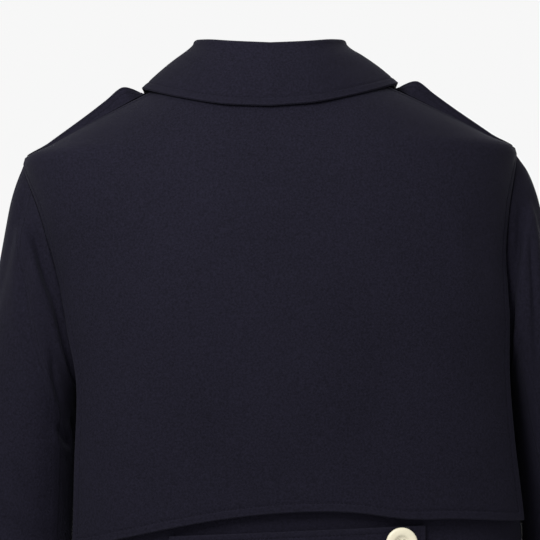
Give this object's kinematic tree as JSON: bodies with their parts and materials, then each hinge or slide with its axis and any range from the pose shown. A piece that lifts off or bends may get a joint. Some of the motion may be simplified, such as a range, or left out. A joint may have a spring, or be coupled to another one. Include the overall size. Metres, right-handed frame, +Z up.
{
  "type": "field jacket",
  "caption": "Hip-length navy field jacket with buttoned front, shirt collar, shoulder straps, loose storm flap and buttoned half-belt at the back, filled out with no wearer.",
  "frame": {"origin": "midway between the two points where the neck meets the shoulders, where a wearer holds the jacket up", "axes": "+Z up, -Y the buttoned front, +X the wearer's left"},
  "size_m": [0.5839, 0.2395, 0.7106],
  "materials": {
    "navy_cloth": "matt, fine even weave",
    "cream_button": "satin, like corozo or resin"
  },
  "bodies": {
    "root": {"back": "navy_cloth", "front_left": "navy_cloth", "front_right": "navy_cloth", "storm_flap": "navy_cloth", "collar": "navy_cloth", "epaulette_left": "navy_cloth", "epaulette_right": "navy_cloth", "sleeve_upper_left": "navy_cloth", "sleeve_upper_right": "navy_cloth", "sleeve_under_left": "navy_cloth", "sleeve_under_right": "navy_cloth", "half_belt": "navy_cloth", "half_belt_button": "cream_button", "epaulette_button_left": "cream_button", "epaulette_button_right": "cream_button", "front_button_1": "cream_button", "front_button_2": "cream_button", "front_button_3": "cream_button", "front_button_4": "cream_button", "front_button_5": "cream_button"}
  },
  "joints": []
}
